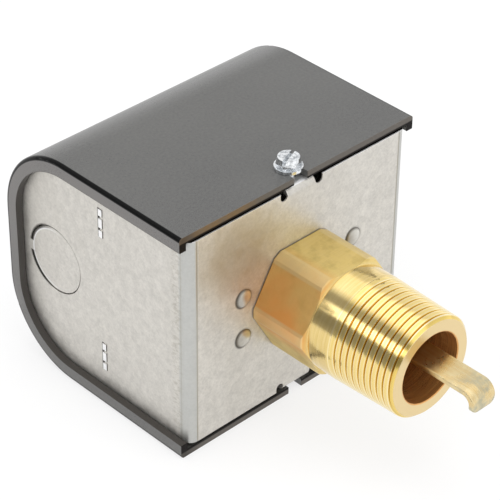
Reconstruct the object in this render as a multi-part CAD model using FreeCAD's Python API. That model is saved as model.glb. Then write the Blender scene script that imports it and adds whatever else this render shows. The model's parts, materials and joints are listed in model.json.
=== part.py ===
import FreeCAD
import Part
import math
import os

from FreeCAD import Vector

# Paddle flow switch, millimetres.
# The origin is on the pipe thread's axis, where the plain shank leaves the hexagon.
# -Y runs out along the thread, +Y into the switch box, X across the box, Z up.

# fits
running_clearance = 0.05      # round parts that turn in a hole, per side
seat_clearance = 0.02         # round parts that are fixed in a hole, per side
sheet_clearance = 0.10        # sheet parts that pass through or between sheets
moving_clearance = 0.30       # faces that pass or nearly touch as parts move

# brass body
hex_across_flats = 33.3
hex_blank_radius = 18.4       # the hexagon's corners are turned down to this
hex_length = 20.3
hex_face_radius = 16.2        # where the end chamfer of the hexagon starts
hex_chamfer_angle = 30.0
shank_radius = 16.6
shank_length = 6.35
thread_length = 24.25
thread_taper = 1.0 / 16.0     # on the diameter, as on any taper pipe thread
thread_end_chamfer = 1.1
bore_radius = 11.1
bore_depth = 46.6             # from the thread's end to the step inside the hexagon
throat_radius = 8.5
spigot_radius = 12.7
spigot_length = 10.2
locknut_across_flats = 31.75
locknut_thickness = 4.5

# base: front panel and two side panels
base_sheet = 1.5
base_width = 85.6
base_height = 70.2
base_rise = 0.3               # the base's middle above the thread's axis
base_depth = 72.5
base_bend_radius = 3.2
base_rear_radius = 22.5
tab_width = 10.8
tab_length = 11.5
tab_bend_radius = 2.4
notch_width = 2.8
notch_depth = 2.6
plate_tab_height = 9.7
plate_tab_centre = 23.7       # each tab's middle above and below the tabs' own middle height
plate_tab_rise = 0.4          # that middle height above the axis
plate_tab_proud = 0.25        # staked tab ends past the side panels
plate_slot_gap = 0.25         # slot ahead of the tab
stake_radius = 0.45
stake_spacing = 4.0
knockout_radius = 11.1
knockout_to_rear = 15.5       # knockout's centre to the side panels' rear edge
knockout_rise = 0.5           # and above the axis
knockout_slit = 0.40          # slit round the struck slug, on average
knockout_shift = 0.28         # the slug sits off centre by this
knockout_shift_angle = 145.0  # degrees from +Y towards +Z
knockout_tie = 3.6
rivet_spacing_x = 43.8
rivet_spacing_z = 14.0
rivet_shank_radius = 1.5
rivet_head_radius = 3.0
rivet_head_height = 1.0
rivet_tail_radius = 2.4
rivet_tail_height = 0.8

# cover
cover_sheet = 2.3
cover_width = 91.0
cover_gap = 0.6               # between the base's top edges and the inside of the cover
cover_setback = 0.4           # the cover's front edge lies this far behind the panel's face
cover_rear_gap = 0.8
cover_rear_radius = 26.3
cover_lip = 4.6
cover_bend_radius = 1.1
screw_slot_width = 5.3
screw_slot_clearance = 0.6    # slot end past the screw

# cover screw
screw_setback = 5.4           # panel face to the screw
screw_shank_radius = 2.0
screw_shank_length = 7.0
screw_washer_radius = 4.2
screw_washer_height = 0.9
screw_head_across_flats = 6.35
screw_head_height = 2.8
screw_slot = 1.1
screw_slot_depth = 1.4
screw_slot_angle = 22.0
screw_boss_radius = 3.2
screw_boss_height = 1.4

# paddle arm and its pivot
arm_width = 9.2
arm_thickness = 1.7
arm_top = 3.95                # height of the strip's upper face above the axis
arm_reach = 19.4              # how far the hook stands out past the thread's end
arm_hook_radius = 4.1         # outside radius of the hook
arm_hook_drop = 2.05          # straight length below the hook's bend
arm_corner = 1.8
pivot_pin_radius = 1.5
pivot_ring_length = 8.0
arm_swing_angle = 6.0         # degrees from rest to the stop
hub_ahead = 10.5              # front of the hub to the pivot
hub_below = 3.5
hub_corner = 1.3
hub_boss_radius = 4.0         # round boss behind the pivot that takes the stem
hub_boss_length = 4.2
arm_rivet_radius = 1.1
arm_rivet_head_radius = 2.0
arm_rivet_head_height = 0.8
arm_rivet_inset = 2.4
arm_rivet_spacing = 4.6
stem_radius = 2.0
stem_socket = 3.5

# bellows
bellows_outer_radius = 8.0
bellows_inner_radius = 5.4
bellows_wall = 0.5
bellows_folds = 6
bellows_length = 13.5
collar_thickness = 2.0
cap_thickness = 1.5
cap_boss_length = 2.6
cap_boss_radius = 4.0

# operating lever and range spring
lever_sheet = 1.5
lever_width = 10.0
lever_rise = 5.5              # underside of the lever above the axis
lever_tail = 9.0              # how far the lever reaches past the switch plate
lever_nut_across_flats = 8.0
lever_nut_thickness = 3.0
spring_gap = 0.15             # spring ends to their seats
spring_radius = 3.2           # to the middle of the wire
spring_wire_radius = 0.5
spring_turns = 6
spring_seat_radius = 4.0
spring_seat_thickness = 3.0
range_travel = 1.4            # travel of the spring seat up and down from rest
range_screw_radius = 2.0
range_screw_head_radius = 3.8
range_screw_head_height = 2.0
range_screw_collar_radius = 3.4
range_screw_collar_height = 1.0
range_screw_below_seat = 6.0
bracket_sheet = 1.5
bracket_side_margin = 5.1     # bracket plate past its rivets, sideways
bracket_edge_margin = 6.0     # and up and down
bracket_neck_width = 20.0
bracket_bend_radius = 3.0
shelf_below_screw = 1.1       # cover screw's end to the shelf

# switch
plate_sheet = 1.5
plate_height = 62.0
plate_clearance = 0.55        # spring seat to the switch plate
window_side_margin = 1.5      # window past the lever, sideways
window_margin = 2.0           # and above and below its travel
insulator_thickness = 0.5
case_width = 50.0
case_depth = 17.5
case_height = 16.0
case_corner = 1.5
case_screw_radius = 1.75
case_screw_spacing = 40.0
case_screw_head_radius = 3.2
case_screw_head_height = 2.0
case_screw_above = 12.0
leaf_pivot_x = -20.0
leaf_pivot_below = 1.9        # under the case
leaf_gap = 0.5                # lever to the leaf's tip at rest
leaf_pin_radius = 0.8
leaf_eye_radius = 1.5
leaf_thickness = 0.6
leaf_width = 4.4
leaf_reach = 24.0
leaf_slope = 15.0             # degrees below level at rest
ear_thickness = 1.2
plunger_radius = 1.25
plunger_offset = 6.0          # plunger to the leaf's pivot
plunger_inside = 2.0
plunger_socket = 4.0
lug_width = 8.0
lug_height = 9.0
lug_thickness = 0.8
lug_spacing = 12.0
terminal_count = 3
terminal_screw_radius = 1.5
terminal_head_radius = 3.1
terminal_head_height = 1.8
terminal_screw_length = 3.5
ground_screw_x = 30.0
ground_screw_z = -22.0
ground_screw_radius = 2.0
ground_head_radius = 4.2
ground_head_height = 2.6
ground_screw_past = 2.0

# places that follow from the sizes
thread_end_y = -shank_length - thread_length
bore_step_y = thread_end_y + bore_depth
pivot_y = bore_step_y - pivot_ring_length / 2
panel_face_y = hex_length
panel_back_y = panel_face_y + base_sheet
base_rear_y = panel_face_y + base_depth
base_inner_x = base_width / 2 - base_sheet
cover_front_y = panel_face_y + cover_setback
cover_rear_y = base_rear_y + cover_rear_gap + cover_sheet
cover_inner_top = base_rise + base_height / 2 + cover_gap
cover_top = cover_inner_top + cover_sheet
tab_top = cover_inner_top - moving_clearance
tab_foot = tab_top - tab_bend_radius - 2 * moving_clearance
screw_y = panel_face_y + screw_setback
screw_seat_z = cover_top + sheet_clearance
screw_end_z = screw_seat_z - screw_shank_length
bracket_back_y = panel_back_y + bracket_sheet
spigot_end_y = panel_face_y + spigot_length
collar_back_y = spigot_end_y + collar_thickness
cap_front_y = spigot_end_y + bellows_length
hub_front_y = pivot_y - hub_ahead
strip_top_of_hub = arm_top - arm_thickness
boss_front_y = pivot_y + pivot_pin_radius + moving_clearance
boss_back_y = boss_front_y + hub_boss_length
stem_front_y = boss_back_y - stem_socket
lever_front_y = cap_front_y + cap_thickness + cap_boss_length
lever_nut_y = lever_front_y + lever_sheet
lever_nut_back_y = lever_nut_y + lever_nut_thickness
range_y = lever_nut_y + lever_nut_thickness / 2
plate_front_y = range_y + spring_seat_radius + plate_clearance
plate_back_y = plate_front_y + plate_sheet
lever_top = lever_rise + lever_sheet
lever_lift = (plate_back_y - pivot_y) * math.sin(math.radians(arm_swing_angle))
shelf_top = screw_end_z - shelf_below_screw
shelf_bottom = shelf_top - bracket_sheet
shelf_end_y = range_y + spring_seat_radius
seat_top = shelf_bottom - range_travel - moving_clearance - range_screw_collar_height - running_clearance
seat_bottom = seat_top - spring_seat_thickness
case_front_y = plate_back_y + insulator_thickness
case_back_y = case_front_y + case_depth
leaf_drop = leaf_reach * math.sin(math.radians(leaf_slope)) + leaf_thickness / 2
leaf_pivot_z = lever_top + leaf_gap + leaf_drop
leaf_y = plate_back_y + lever_tail - leaf_width
case_bottom = leaf_pivot_z + leaf_pivot_below
case_top = case_bottom + case_height
plunger_x = leaf_pivot_x + plunger_offset


# shape helpers
def block(x0, x1, y0, y1, z0, z1):
    """Box between two corners."""
    return Part.makeBox(x1 - x0, y1 - y0, z1 - z0, Vector(x0, y0, z0))


def rod(axis, radius, start, end, centre=(0.0, 0.0)):
    """Cylinder along one row axis; centre gives its other two coordinates in X, Y, Z order."""
    a, b = centre
    base = {"x": Vector(start, a, b), "y": Vector(a, start, b), "z": Vector(a, b, start)}[axis]
    way = {"x": Vector(1, 0, 0), "y": Vector(0, 1, 0), "z": Vector(0, 0, 1)}[axis]
    return Part.makeCylinder(radius, end - start, base, way)


def turned(profile):
    """Solid turned about the Y axis from a closed outline of (y, radius) points."""
    points = [Vector(radius, y, 0) for y, radius in profile]
    outline = Part.makePolygon(points + [points[0]])
    return Part.Face(outline).revolve(Vector(0, 0, 0), Vector(0, 1, 0), 360)


def hexagon(axis, across_flats, start, end, centre=(0.0, 0.0), turn=0.0):
    """Hexagonal bar along Y or Z; with turn 0 a corner points along X."""
    corner = across_flats / math.sqrt(3)
    points = []
    for step in range(7):
        angle = math.radians(60 * step + turn)
        u = centre[0] + corner * math.cos(angle)
        v = centre[1] + corner * math.sin(angle)
        points.append(Vector(u, start, v) if axis == "y" else Vector(u, v, start))
    way = Vector(0, end - start, 0) if axis == "y" else Vector(0, 0, end - start)
    return Part.Face(Part.makePolygon(points)).extrude(way)


def side_profile(front_y, rear_y, half_height, rear_radius, half_width):
    """Block across the box whose side view has its two rear corners rounded."""
    bend_y = rear_y - rear_radius
    bend_z = half_height - rear_radius
    diagonal = rear_radius * math.sqrt(0.5)

    def at(y, z):
        return Vector(-half_width, y, z)

    upper_middle = at(bend_y + diagonal, bend_z + diagonal)
    lower_middle = at(bend_y + diagonal, -bend_z - diagonal)
    upper = Part.Arc(at(bend_y, half_height), upper_middle, at(rear_y, bend_z))
    lower = Part.Arc(at(rear_y, -bend_z), lower_middle, at(bend_y, -half_height))
    edges = [
        Part.makeLine(at(front_y, half_height), at(bend_y, half_height)),
        upper.toShape(),
        Part.makeLine(at(rear_y, bend_z), at(rear_y, -bend_z)),
        lower.toShape(),
        Part.makeLine(at(bend_y, -half_height), at(front_y, -half_height)),
        Part.makeLine(at(front_y, -half_height), at(front_y, half_height)),
    ]
    return Part.Face(Part.Wire(edges)).extrude(Vector(2 * half_width, 0, 0))


def edges_along(shape, axis, test):
    """Straight edges that run along one row axis and whose middle passes the test."""
    found = []
    for edge in shape.Edges:
        if edge.Curve.TypeId != "Part::GeomLine":
            continue
        way = edge.tangentAt(edge.FirstParameter)
        if abs(abs(way.dot(axis)) - 1) < 1e-6 and test(edge.CenterOfMass):
            found.append(edge)
    return found


def bent_strip(half_width, path, sheet, bend_radius):
    """Sheet strip across X that follows two straight legs in the YZ plane with one rounded bend.

    path holds the outer face's start, corner and end as (y, z); the sheet lies on the
    inner side of the corner.
    """
    start, corner, end = [Vector(-half_width, y, z) for y, z in path]
    first = (start - corner).normalize()
    second = (end - corner).normalize()
    middle = (first + second).normalize()

    def offset(depth, radius):
        inner_corner = corner + first * depth + second * depth
        nearest = inner_corner + (first + second) * radius - middle * radius
        arc = Part.Arc(inner_corner + first * radius, nearest, inner_corner + second * radius)
        return inner_corner, arc

    outer_corner, outer_arc = offset(0.0, bend_radius)
    inner_corner, inner_arc = offset(sheet, bend_radius - sheet)
    start_inner = start + second * sheet
    end_inner = end + first * sheet
    edges = [
        Part.makeLine(start, outer_corner + first * bend_radius),
        outer_arc.toShape(),
        Part.makeLine(outer_corner + second * bend_radius, end),
        Part.makeLine(end, end_inner),
        Part.makeLine(end_inner, inner_corner + second * (bend_radius - sheet)),
        inner_arc.toShape(),
        Part.makeLine(inner_corner + first * (bend_radius - sheet), start_inner),
        Part.makeLine(start_inner, start),
    ]
    return Part.Face(Part.Wire(edges)).extrude(Vector(2 * half_width, 0, 0))


def write(name, shape):
    """Check one node's solids and write its STEP file."""
    if not shape.isValid():
        raise ValueError(name + " is not a valid solid")
    shape.exportStep("parts/" + name + ".step")
    print(name, len(shape.Solids), "solids", round(shape.Volume, 1), "mm3")


# brass body
def fitting_body():
    """Hexagon, plain shank, taper thread envelope, stepped bore and spigot, turned from one bar."""
    chamfer_length = (hex_blank_radius - hex_face_radius) * math.tan(math.radians(hex_chamfer_angle))
    blank = turned([
        (0, 0),
        (0, hex_face_radius),
        (chamfer_length, hex_blank_radius),
        (hex_length, hex_blank_radius),
        (hex_length, 0),
    ])
    head = blank.common(hexagon("y", hex_across_flats, 0, hex_length))
    chamfer_y = thread_end_y + thread_end_chamfer
    taper_at_chamfer = (thread_length - thread_end_chamfer) * thread_taper / 2
    stem = turned([
        (thread_end_y, 0),
        (thread_end_y, shank_radius - taper_at_chamfer - thread_end_chamfer),
        (chamfer_y, shank_radius - taper_at_chamfer),
        (-shank_length, shank_radius),
        (0, shank_radius),
        (0, 0),
    ])
    spigot = rod("y", spigot_radius, hex_length, spigot_end_y)
    bore = rod("y", bore_radius, thread_end_y, bore_step_y)
    throat = rod("y", throat_radius, bore_step_y, spigot_end_y)
    solid = head.fuse([stem, spigot]).cut(bore).cut(throat)
    return solid.removeSplitter()


def body_locknut():
    """Hexagonal locknut that clamps the bracket and the panel against the hexagon."""
    nut = hexagon("y", locknut_across_flats, bracket_back_y, bracket_back_y + locknut_thickness, turn=30)
    return nut.cut(rod("y", spigot_radius + seat_clearance, bracket_back_y, spigot_end_y))


# base
def base_shell():
    """Front panel and two side panels, bent from one sheet, with rounded rear corners."""
    half = base_width / 2
    inner_half = half - base_sheet
    height = base_height / 2
    outer = block(-half, half, panel_face_y, base_rear_y, base_rise - height, base_rise + height)
    front_edges = edges_along(outer, Vector(0, 0, 1), lambda c: c.y < panel_face_y + 0.1)
    outer = outer.makeFillet(base_bend_radius, front_edges)
    inner = block(-inner_half, inner_half, panel_back_y, base_rear_y + 1, -base_height, base_height)
    inner_edges = edges_along(inner, Vector(0, 0, 1), lambda c: c.y < panel_back_y + 0.1)
    inner = inner.makeFillet(base_bend_radius - base_sheet, inner_edges)
    outline = side_profile(panel_face_y, base_rear_y, height, base_rear_radius, half)
    outline.translate(Vector(0, 0, base_rise))
    return outer.common(outline).cut(inner)


def screw_tab(side):
    """Tab that bends back from the panel's top (side 1) or bottom (side -1) edge, with its tapped boss."""
    path = [(panel_face_y, tab_foot), (panel_face_y, tab_top), (panel_face_y + tab_length, tab_top)]
    tab = bent_strip(tab_width / 2, path, base_sheet, tab_bend_radius)
    under = tab_top - base_sheet
    tab = tab.fuse(rod("z", screw_boss_radius, under - screw_boss_height, under, (0, screw_y)))
    tab = tab.cut(rod("z", screw_shank_radius + running_clearance, under - 3, tab_top + 1, (0, screw_y)))
    rear = edges_along(tab, Vector(0, 0, 1), lambda c: c.y > panel_face_y + tab_length - 0.1)
    tab = tab.makeFillet(base_sheet, rear)
    if side < 0:
        tab = tab.mirror(Vector(0, 0, 0), Vector(0, 0, 1))
    return tab


def knockout_cut():
    """Uneven ring slit of the conduit knockout in the left panel, broken by its tie at the rear."""
    y = base_rear_y - knockout_to_rear
    z = knockout_rise
    start = -base_width / 2 - 1
    end = -base_inner_x + 1
    turn = math.radians(knockout_shift_angle)
    slug_place = (y + knockout_shift * math.cos(turn), z + knockout_shift * math.sin(turn))
    ring = rod("x", knockout_radius, start, end, (y, z))
    ring = ring.cut(rod("x", knockout_radius - knockout_slit, start, end, slug_place))
    tie = block(start, end, y, y + knockout_radius + 1, z - knockout_tie / 2, z + knockout_tie / 2)
    return ring.cut(tie)


def notch_cuts(side):
    """Two round-bottomed relief notches beside the tab, and the room for the tab's own bend."""
    edge = base_rise + side * base_height / 2
    round_z = edge - side * (notch_depth - notch_width / 2)
    past_edge = edge + side
    foot_z = side * tab_foot
    half_tab = tab_width / 2
    low, high = sorted((foot_z, past_edge))
    cuts = [block(-half_tab, half_tab, panel_face_y, panel_back_y, low, high)]
    for side_x in (-1, 1):
        x = side_x * (tab_width + notch_width) / 2
        low, high = sorted((round_z, past_edge))
        cuts.append(block(x - notch_width / 2, x + notch_width / 2, panel_face_y, panel_back_y, low, high))
        cuts.append(rod("y", notch_width / 2, panel_face_y, panel_back_y, (x, round_z)))
    return cuts


def base_frame():
    """The zinc sheet base with its tabs, notches, slots, holes and knockout."""
    cuts = notch_cuts(1) + notch_cuts(-1)
    cuts.append(rod("y", spigot_radius + seat_clearance, panel_face_y, panel_back_y))
    cuts.append(knockout_cut())
    slot_start = plate_front_y - plate_slot_gap
    slot_end = plate_back_y + sheet_clearance / 2
    for z in plate_tab_places():
        z0 = z - plate_tab_height / 2
        cuts.append(block(-base_width, base_width, slot_start, slot_end, z0, z0 + plate_tab_height))
    for x, z in rivet_places():
        cuts.append(rod("y", rivet_shank_radius + seat_clearance, panel_face_y, panel_back_y, (x, z)))
    frame = base_shell().cut(cuts)
    return frame.fuse([screw_tab(1), screw_tab(-1)]).removeSplitter()


def rivet_places():
    """Centres of the four panel rivets as (x, z)."""
    return [(sx * rivet_spacing_x / 2, sz * rivet_spacing_z / 2) for sx in (-1, 1) for sz in (-1, 1)]


def frame_rivets():
    """Four dome-headed rivets through the panel and the bracket."""
    rivets = []
    dome_radius = (rivet_head_radius ** 2 + rivet_head_height ** 2) / 2 / rivet_head_height
    dome_y = panel_face_y - rivet_head_height + dome_radius
    for x, z in rivet_places():
        ball = Part.makeSphere(dome_radius, Vector(x, dome_y, z))
        head = ball.common(rod("y", dome_radius, panel_face_y - dome_radius, panel_face_y, (x, z)))
        shank = rod("y", rivet_shank_radius, panel_face_y, bracket_back_y, (x, z))
        tail = rod("y", rivet_tail_radius, bracket_back_y, bracket_back_y + rivet_tail_height, (x, z))
        rivets.append(head.fuse([shank, tail]).removeSplitter())
    return Part.makeCompound(rivets)


# cover
def cover():
    """Wrap of heavy sheet: two round rear bends, a lip along each side and open screw slots."""
    half = cover_width / 2
    outer = side_profile(cover_front_y, cover_rear_y, cover_top, cover_rear_radius, half)
    rim = [
        edge for edge in outer.Edges
        if abs(abs(edge.CenterOfMass.x) - half) < 1e-6 and edge.CenterOfMass.y > cover_front_y + 0.01
    ]
    outer = outer.makeFillet(cover_bend_radius, rim)
    cavity = side_profile(
        cover_front_y - 1, cover_rear_y - cover_sheet, cover_inner_top,
        cover_rear_radius - cover_sheet, half - cover_sheet,
    )
    opening = side_profile(
        cover_front_y - 1, cover_rear_y - cover_lip, cover_top - cover_lip,
        cover_rear_radius - cover_lip, half + 1,
    )
    slot_end_y = screw_y + screw_slot_clearance
    slot_half = screw_slot_width / 2
    past_top = cover_top + 1
    slots = block(-slot_half, slot_half, cover_front_y - 1, slot_end_y, -past_top, past_top)
    slot_ends = rod("z", slot_half, -past_top, past_top, (0, slot_end_y))
    return outer.cut([cavity, opening, slots, slot_ends]).removeSplitter()


def cover_screw():
    """Hexagonal washer-head screw with a driver slot, in the top tab."""
    place = (0, screw_y)
    head_bottom = screw_seat_z + screw_washer_height
    shank = rod("z", screw_shank_radius, screw_end_z, screw_seat_z, place)
    washer = rod("z", screw_washer_radius, screw_seat_z, head_bottom, place)
    head_top = head_bottom + screw_head_height
    head = hexagon("z", screw_head_across_flats, head_bottom, head_top, place, screw_slot_angle)
    crown = Part.makeCone(
        screw_head_across_flats * 0.62, screw_head_across_flats * 0.5, screw_head_height,
        Vector(0, screw_y, head_bottom), Vector(0, 0, 1),
    )
    head = head.common(crown)
    reach = screw_washer_radius
    groove_front = screw_y - screw_slot / 2
    groove_bottom = head_top - screw_slot_depth
    groove = block(-reach, reach, groove_front, groove_front + screw_slot, groove_bottom, head_top + 1)
    groove.rotate(Vector(0, screw_y, 0), Vector(0, 0, 1), screw_slot_angle)
    return shank.fuse([washer, head]).cut(groove).removeSplitter()


# paddle arm
def paddle_arm():
    """Flat brass strip with its tip rolled down into a hook and its end corners rounded."""
    tip_y = thread_end_y - arm_reach
    bottom_z = arm_top - arm_hook_radius - arm_hook_drop
    path = [(tip_y, bottom_z), (tip_y, arm_top), (boss_front_y, arm_top)]
    strip = bent_strip(arm_width / 2, path, arm_thickness, arm_hook_radius)
    tips = edges_along(strip, Vector(0, 1, 0), lambda c: c.z < bottom_z + 0.1)
    strip = strip.makeFillet(arm_corner, tips)
    for y in arm_rivet_places():
        strip = strip.cut(rod("z", arm_rivet_radius + seat_clearance, 0, arm_top + 1, (0, y)))
    return strip


def arm_rivet_places():
    """Y of the two rivets that join the strip to the hub, ahead of the pivot."""
    first = hub_front_y + arm_rivet_inset
    return (first, first + arm_rivet_spacing)


def arm_hub():
    """Hub under the strip with a round boss behind it, drilled for pivot pin, rivets and stem."""
    hub = block(-arm_width / 2, arm_width / 2, hub_front_y, boss_front_y, -hub_below, strip_top_of_hub)
    front = edges_along(hub, Vector(1, 0, 0), lambda c: c.z < 0 and c.y < pivot_y)
    hub = hub.makeFillet(hub_corner, front)
    hub = hub.fuse(rod("y", hub_boss_radius, boss_front_y, boss_back_y))
    cuts = [
        rod("x", pivot_pin_radius + running_clearance, -arm_width, arm_width, (pivot_y, 0)),
        rod("y", stem_radius + seat_clearance, stem_front_y, boss_back_y),
    ]
    for y in arm_rivet_places():
        cuts.append(rod("z", arm_rivet_radius + seat_clearance, -hub_below, strip_top_of_hub, (0, y)))
    return hub.cut(cuts).removeSplitter()


def arm_rivets():
    """Two rivets through strip and hub."""
    rivets = []
    for y in arm_rivet_places():
        shank = rod("z", arm_rivet_radius, -hub_below, arm_top, (0, y))
        head = rod("z", arm_rivet_head_radius, arm_top, arm_top + arm_rivet_head_height, (0, y))
        rivets.append(shank.fuse(head).removeSplitter())
    return Part.makeCompound(rivets)


def arm_stem():
    """Rod from the hub through the bellows to the lever and its nut."""
    return rod("y", stem_radius, stem_front_y, lever_nut_back_y)


def pivot_ring():
    """Ring against the bore's step that carries the pivot pin."""
    front = bore_step_y - pivot_ring_length
    ring = rod("y", bore_radius - seat_clearance, front, bore_step_y)
    ring = ring.cut(rod("y", throat_radius, front, bore_step_y))
    return ring.cut(rod("x", pivot_pin_radius + seat_clearance, -bore_radius, bore_radius, (pivot_y, 0)))


def pivot_pin():
    """Cross pin of the arm."""
    half = math.sqrt(bore_radius ** 2 - pivot_pin_radius ** 2) - running_clearance
    return rod("x", pivot_pin_radius, -half, half, (pivot_y, 0))


# bellows
def bellows():
    """Corrugated metal tube round the stem, from the collar to the cap."""
    fold = (bellows_length - collar_thickness - moving_clearance) / bellows_folds
    y = collar_back_y + moving_clearance / 2
    outer = [(spigot_end_y, bellows_inner_radius + bellows_wall)]
    for step in range(bellows_folds):
        outer.append((y + step * fold, bellows_inner_radius + bellows_wall))
        outer.append((y + (step + 0.5) * fold, bellows_outer_radius))
    outer.append((y + bellows_folds * fold, bellows_inner_radius + bellows_wall))
    inner = [(place, radius - bellows_wall) for place, radius in reversed(outer)]
    return turned(outer + inner)


def bellows_collar():
    """Ring on the spigot's end that holds the bellows."""
    ring = rod("y", spigot_radius, spigot_end_y, collar_back_y)
    hole_radius = bellows_inner_radius + bellows_wall + seat_clearance
    return ring.cut(rod("y", hole_radius, spigot_end_y, collar_back_y))


def bellows_cap():
    """Cap on the stem that closes the free end of the bellows."""
    back = cap_front_y + cap_thickness
    cap = rod("y", bellows_outer_radius, cap_front_y, back)
    cap = cap.fuse(rod("y", cap_boss_radius, back, back + cap_boss_length))
    return cap.cut(rod("y", stem_radius + seat_clearance, cap_front_y, lever_front_y)).removeSplitter()


# lever, range spring and bracket
def operating_lever():
    """Bent strip on the stem: an upright ear on the stem and a level tail through the plate's window."""
    end_y = plate_back_y + lever_tail
    path = [(lever_front_y, -cap_boss_radius), (lever_front_y, lever_top), (end_y, lever_top)]
    lever = bent_strip(lever_width / 2, path, lever_sheet, lever_sheet * 1.5)
    ends = edges_along(lever, Vector(0, 0, 1), lambda c: c.y > end_y - 0.1)
    lever = lever.makeFillet(2.0, ends)
    return lever.cut(rod("y", stem_radius + seat_clearance, lever_front_y - 1, lever_nut_y + 1))


def lever_nut():
    """Nut that clamps the lever on the stem."""
    nut = hexagon("y", lever_nut_across_flats, lever_nut_y, lever_nut_y + lever_nut_thickness, turn=0)
    return nut.cut(rod("y", stem_radius + seat_clearance, lever_nut_y, lever_nut_y + lever_nut_thickness))


def mechanism_bracket():
    """Plate behind the panel whose neck rises and bends back into a shelf over the lever."""
    half_width = rivet_spacing_x / 2 + bracket_side_margin
    half_height = rivet_spacing_z / 2 + bracket_edge_margin
    plate = block(-half_width, half_width, panel_back_y, bracket_back_y, -half_height, half_height)
    corners = edges_along(plate, Vector(0, 1, 0), lambda c: True)
    plate = plate.makeFillet(bracket_bend_radius, corners)
    path = [(panel_back_y, 0), (panel_back_y, shelf_top), (shelf_end_y, shelf_top)]
    neck = bent_strip(bracket_neck_width / 2, path, bracket_sheet, bracket_bend_radius)
    ends = edges_along(neck, Vector(0, 0, 1), lambda c: c.y > shelf_end_y - 0.1)
    neck = neck.makeFillet(bracket_bend_radius, ends)
    cuts = [
        rod("y", spigot_radius + seat_clearance, panel_back_y, bracket_back_y),
        rod("z", range_screw_radius + running_clearance, shelf_bottom, shelf_top, (0, range_y)),
    ]
    for x, z in rivet_places():
        cuts.append(rod("y", rivet_shank_radius + seat_clearance, panel_back_y, bracket_back_y, (x, z)))
    return plate.fuse(neck).cut(cuts).removeSplitter()


def range_screw():
    """Adjusting screw: slotted head above the shelf, shank, and collar that presses on the seat."""
    place = (0, range_y)
    head_bottom = shelf_top + range_travel + moving_clearance
    head_top = head_bottom + range_screw_head_height
    collar_bottom = seat_top + running_clearance
    collar_top = collar_bottom + range_screw_collar_height
    shank = rod("z", range_screw_radius, seat_bottom - range_screw_below_seat, head_bottom, place)
    head = rod("z", range_screw_head_radius, head_bottom, head_top, place)
    collar = rod("z", range_screw_collar_radius, collar_bottom, collar_top, place)
    reach = range_screw_head_radius
    groove_front = range_y - screw_slot / 2
    groove = block(-reach, reach, groove_front, groove_front + screw_slot, head_top - screw_slot, head_top + 1)
    return shank.fuse([head, collar]).cut(groove).removeSplitter()


def spring_seat():
    """Round seat under the range screw's collar that presses on the spring."""
    seat = rod("z", spring_seat_radius, seat_bottom, seat_top, (0, range_y))
    return seat.cut(rod("z", range_screw_radius + running_clearance, seat_bottom, seat_top, (0, range_y)))


def range_spring():
    """Coil spring between the seat and the lever."""
    bottom = lever_top + spring_gap + spring_wire_radius
    rise = seat_bottom - spring_gap - spring_wire_radius - bottom
    helix = Part.makeHelix(rise / spring_turns, rise, spring_radius)
    section = Part.Wire(Part.makeCircle(spring_wire_radius, Vector(spring_radius, 0, 0), Vector(0, 1, 0)))
    coil = Part.Wire(helix).makePipeShell([section], True, True)
    coil.translate(Vector(0, range_y, bottom))
    return coil


# switch
def switch_plate():
    """Partition across the base: four staked tabs in the side panels' slots and a window for the lever."""
    half = base_inner_x - sheet_clearance
    plate = block(-half, half, plate_front_y, plate_back_y, -plate_height / 2, plate_height / 2)
    tab_end = base_width / 2 + plate_tab_proud
    tab_half = plate_tab_height / 2 - sheet_clearance
    tabs = []
    stakes = []
    for z in plate_tab_places():
        tabs.append(block(-tab_end, tab_end, plate_front_y, plate_back_y, z - tab_half, z + tab_half))
        for stake_z in (z - stake_spacing / 2, z + stake_spacing / 2):
            stakes.append(rod("y", stake_radius, plate_front_y, plate_back_y, (-tab_end, stake_z)))
            stakes.append(rod("y", stake_radius, plate_front_y, plate_back_y, (tab_end, stake_z)))
    window_x = lever_width / 2 + window_side_margin
    window_bottom = lever_rise - window_margin
    window_top = lever_top + lever_lift + window_margin
    ground_place = (ground_screw_x, ground_screw_z)
    cuts = [
        block(-window_x, window_x, plate_front_y, plate_back_y, window_bottom, window_top),
        rod("y", ground_screw_radius + seat_clearance, plate_front_y, plate_back_y, ground_place),
    ]
    for place in case_screw_places():
        cuts.append(rod("y", case_screw_radius + seat_clearance, plate_front_y, plate_back_y, place))
    return plate.fuse(tabs).cut(cuts + stakes).removeSplitter()


def plate_tab_places():
    """Height of the middle of each pair of tabs."""
    return (plate_tab_rise - plate_tab_centre, plate_tab_rise + plate_tab_centre)


def case_screw_places():
    """(x, z) of the two screws that hold the switch case."""
    z = case_bottom + case_screw_above
    return [(-case_screw_spacing / 2, z), (case_screw_spacing / 2, z)]


def insulator_sheet():
    """Insulating sheet between the switch plate and the case."""
    sheet = block(-case_width / 2, case_width / 2, plate_back_y, case_front_y, case_bottom, case_top)
    for place in case_screw_places():
        sheet = sheet.cut(rod("y", case_screw_radius + seat_clearance, plate_back_y, case_front_y, place))
    return sheet


def terminal_places():
    """(x, z) of the middle of each terminal on the back of the case."""
    z = case_bottom + lug_thickness + lug_height / 2
    return [((index - (terminal_count - 1) / 2) * lug_spacing, z) for index in range(terminal_count)]


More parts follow.
